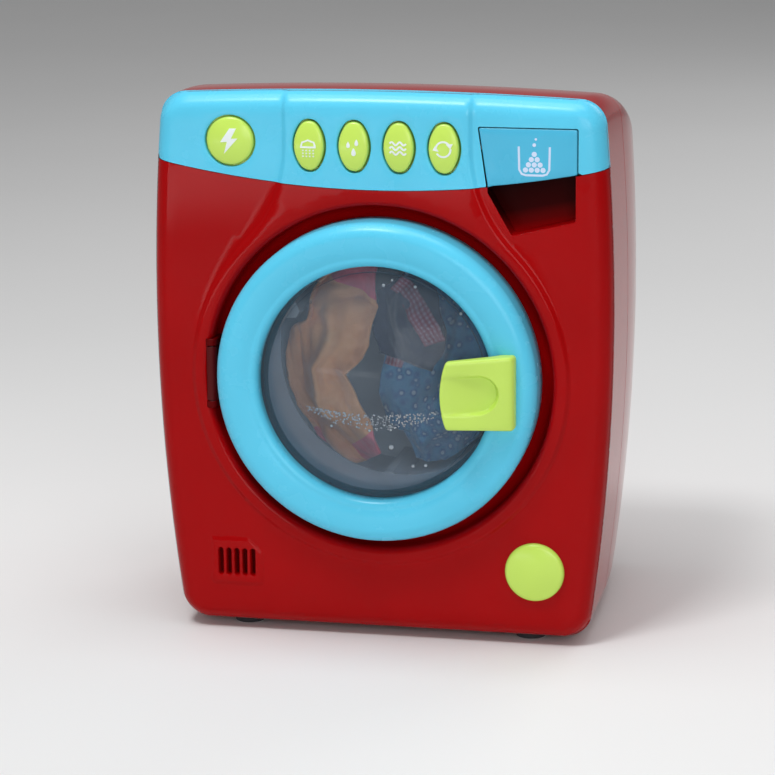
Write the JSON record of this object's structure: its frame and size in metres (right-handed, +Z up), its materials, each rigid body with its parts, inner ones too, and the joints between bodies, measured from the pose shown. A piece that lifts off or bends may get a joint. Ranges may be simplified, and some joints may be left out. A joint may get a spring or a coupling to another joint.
{
  "type": "toy washing machine",
  "caption": "Toy front-loading washing machine: opening round door with domed window, geared drum with laundry, pull-out detergent drawer and push buttons.",
  "frame": {"origin": "on the floor, under the middle of the body's width, in the plane where the front and rear shells meet", "axes": "+X to the right seen from the front, +Y to the back, +Z up"},
  "size_m": [0.1896, 0.148, 0.227],
  "materials": {
    "red_shell": "glossy moulded red",
    "blue_trim": "glossy moulded pale blue",
    "blue_drawer": "glossy moulded blue",
    "green_trim": "glossy moulded lime green",
    "window": "clear, faintly smoked",
    "grey_liner": "satin grey",
    "drum_grey": "satin silver grey",
    "white_gear": "natural white",
    "steel": "zinc plated",
    "brass": "turned",
    "motor_can": "drawn can",
    "board": "solder mask",
    "keypad_rubber": "matte grey",
    "black_plastic": "matte black",
    "cell_jacket": "plain jacket",
    "foot_rubber": "matte dark grey",
    "cloth_orange": "plush",
    "cloth_navy": "knit",
    "cloth_blue": "printed cotton"
  },
  "bodies": {
    "body": {"front_shell": "red_shell", "rear_shell": "red_shell", "control_panel": "blue_trim", "keypad": "keypad_rubber", "circuit_board": "board", "board_screws": "steel", "drawer_guide": "grey_liner", "hinge_pin": "steel", "door_catch": "steel", "filter_cap": "green_trim", "tub": "grey_liner", "tub_screws": "steel", "shaft_bush": "brass", "idler_axle": "steel", "motor": "motor_can", "gearbox_cover": "grey_liner", "gearbox_screws": "steel", "speaker": "black_plastic", "speaker_clamp": "grey_liner", "battery_box": "black_plastic", "batteries": "cell_jacket", "battery_contacts": "steel", "battery_door": "red_shell", "battery_door_screw": "steel", "case_screws": "steel", "feet": "foot_rubber"},
    "door": {"door_ring": "blue_trim", "door_inner_ring": "red_shell", "door_window": "window", "door_handle": "green_trim", "door_screws": "steel"},
    "drum_body": {"drum": "drum_grey", "drum_shaft": "steel", "drum_gear": "white_gear", "laundry_orange": "cloth_orange", "laundry_navy": "cloth_navy", "laundry_blue": "cloth_blue"},
    "idler": {"idler_gear": "white_gear"},
    "rotor": {"motor_shaft": "steel", "motor_pinion": "brass"},
    "drawer": {"detergent_drawer": "blue_drawer"},
    "power": {"power_button": "green_trim"},
    "mode_1": {"mode_button_1": "green_trim"},
    "mode_2": {"mode_button_2": "green_trim"},
    "mode_3": {"mode_button_3": "green_trim"},
    "mode_4": {"mode_button_4": "green_trim"}
  },
  "joints": [
    {"name": "door_hinge", "type": "hinge", "parent": "body", "child": "door", "pos_m": [-0.07, -0.0485, 0.11], "axis": [0, 0, -1], "range_deg": [0, 105]},
    {"name": "drum_spin", "type": "hinge", "parent": "body", "child": "drum_body", "pos_m": [0, 0, 0.11], "axis": [0, 1, 0], "continuous": true},
    {"name": "idler_spin", "type": "hinge", "parent": "body", "child": "idler", "pos_m": [0, 0.03, 0.1388], "axis": [0, 1, 0], "continuous": true},
    {"name": "motor_spin", "type": "hinge", "parent": "body", "child": "rotor", "pos_m": [0, 0.034, 0.1628], "axis": [0, 1, 0], "continuous": true},
    {"name": "drawer_slide", "type": "slide", "parent": "body", "child": "drawer", "axis": [0, -1, 0], "range_m": [0, 0.026]},
    {"name": "power_press", "type": "slide", "parent": "body", "child": "power", "axis": [0, 1, 0], "range_m": [0, 0.0015], "stiffness_N_per_m": 400, "springref_m": -0.0008, "deforming": ["keypad"]},
    {"name": "mode_press_1", "type": "slide", "parent": "body", "child": "mode_1", "axis": [0, 1, 0], "range_m": [0, 0.0015], "stiffness_N_per_m": 400, "springref_m": -0.0008, "deforming": ["keypad"]},
    {"name": "mode_press_2", "type": "slide", "parent": "body", "child": "mode_2", "axis": [0, 1, 0], "range_m": [0, 0.0015], "stiffness_N_per_m": 400, "springref_m": -0.0008, "deforming": ["keypad"]},
    {"name": "mode_press_3", "type": "slide", "parent": "body", "child": "mode_3", "axis": [0, 1, 0], "range_m": [0, 0.0015], "stiffness_N_per_m": 400, "springref_m": -0.0008, "deforming": ["keypad"]},
    {"name": "mode_press_4", "type": "slide", "parent": "body", "child": "mode_4", "axis": [0, 1, 0], "range_m": [0, 0.0015], "stiffness_N_per_m": 400, "springref_m": -0.0008, "deforming": ["keypad"]}
  ],
  "couplings": [
    {"joint": "idler_spin", "follows": "drum_spin", "ratio": -5},
    {"joint": "motor_spin", "follows": "drum_spin", "ratio": 20}
  ]
}
